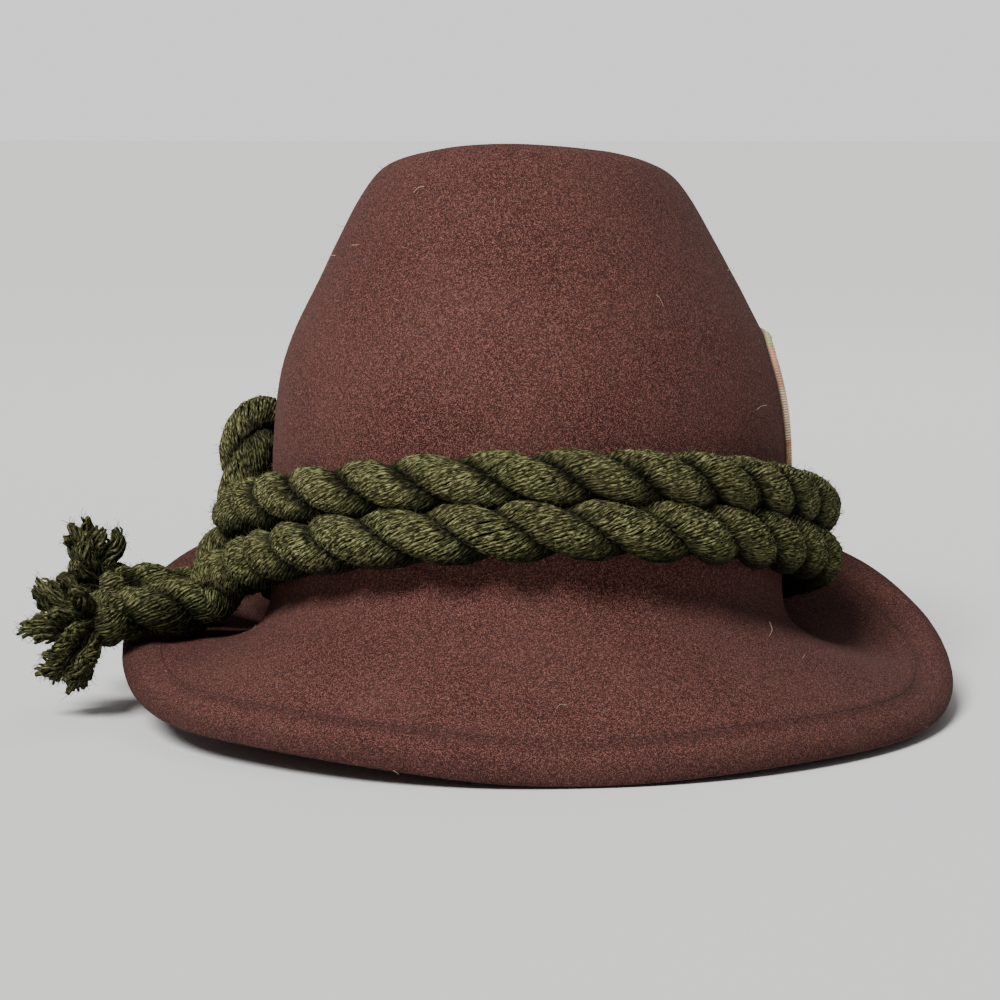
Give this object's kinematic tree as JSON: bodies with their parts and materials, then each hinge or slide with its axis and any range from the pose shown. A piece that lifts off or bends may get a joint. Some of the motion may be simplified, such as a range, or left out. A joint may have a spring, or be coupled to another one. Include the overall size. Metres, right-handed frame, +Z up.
{
  "type": "tyrolean hat",
  "caption": "Felt hat with a tapering crown, a brim low in front and turned up behind, and a thick twisted wool cord with frayed ends round the crown.",
  "frame": {"origin": "middle of the hat's outline on the surface that it stands on", "axes": "+Z up, -Y toward the front of the hat, +X toward the patch side; the cord's frayed ends are on the -X side"},
  "size_m": [0.2868, 0.293, 0.1731],
  "materials": {
    "felt": "pressed wool felt",
    "cord": "twisted wool yarn",
    "wool": "frayed wool yarn",
    "patch": "woven cloth"
  },
  "bodies": {
    "root": {"felt_body": "felt", "cord_wrap_upper": "cord", "cord_wrap_lower": "cord", "cord_loop": "cord", "cord_tail_upper": "cord", "cord_tail_lower": "cord", "tassel_upper": "wool", "tassel_lower": "wool", "side_patch": "patch"}
  },
  "joints": []
}
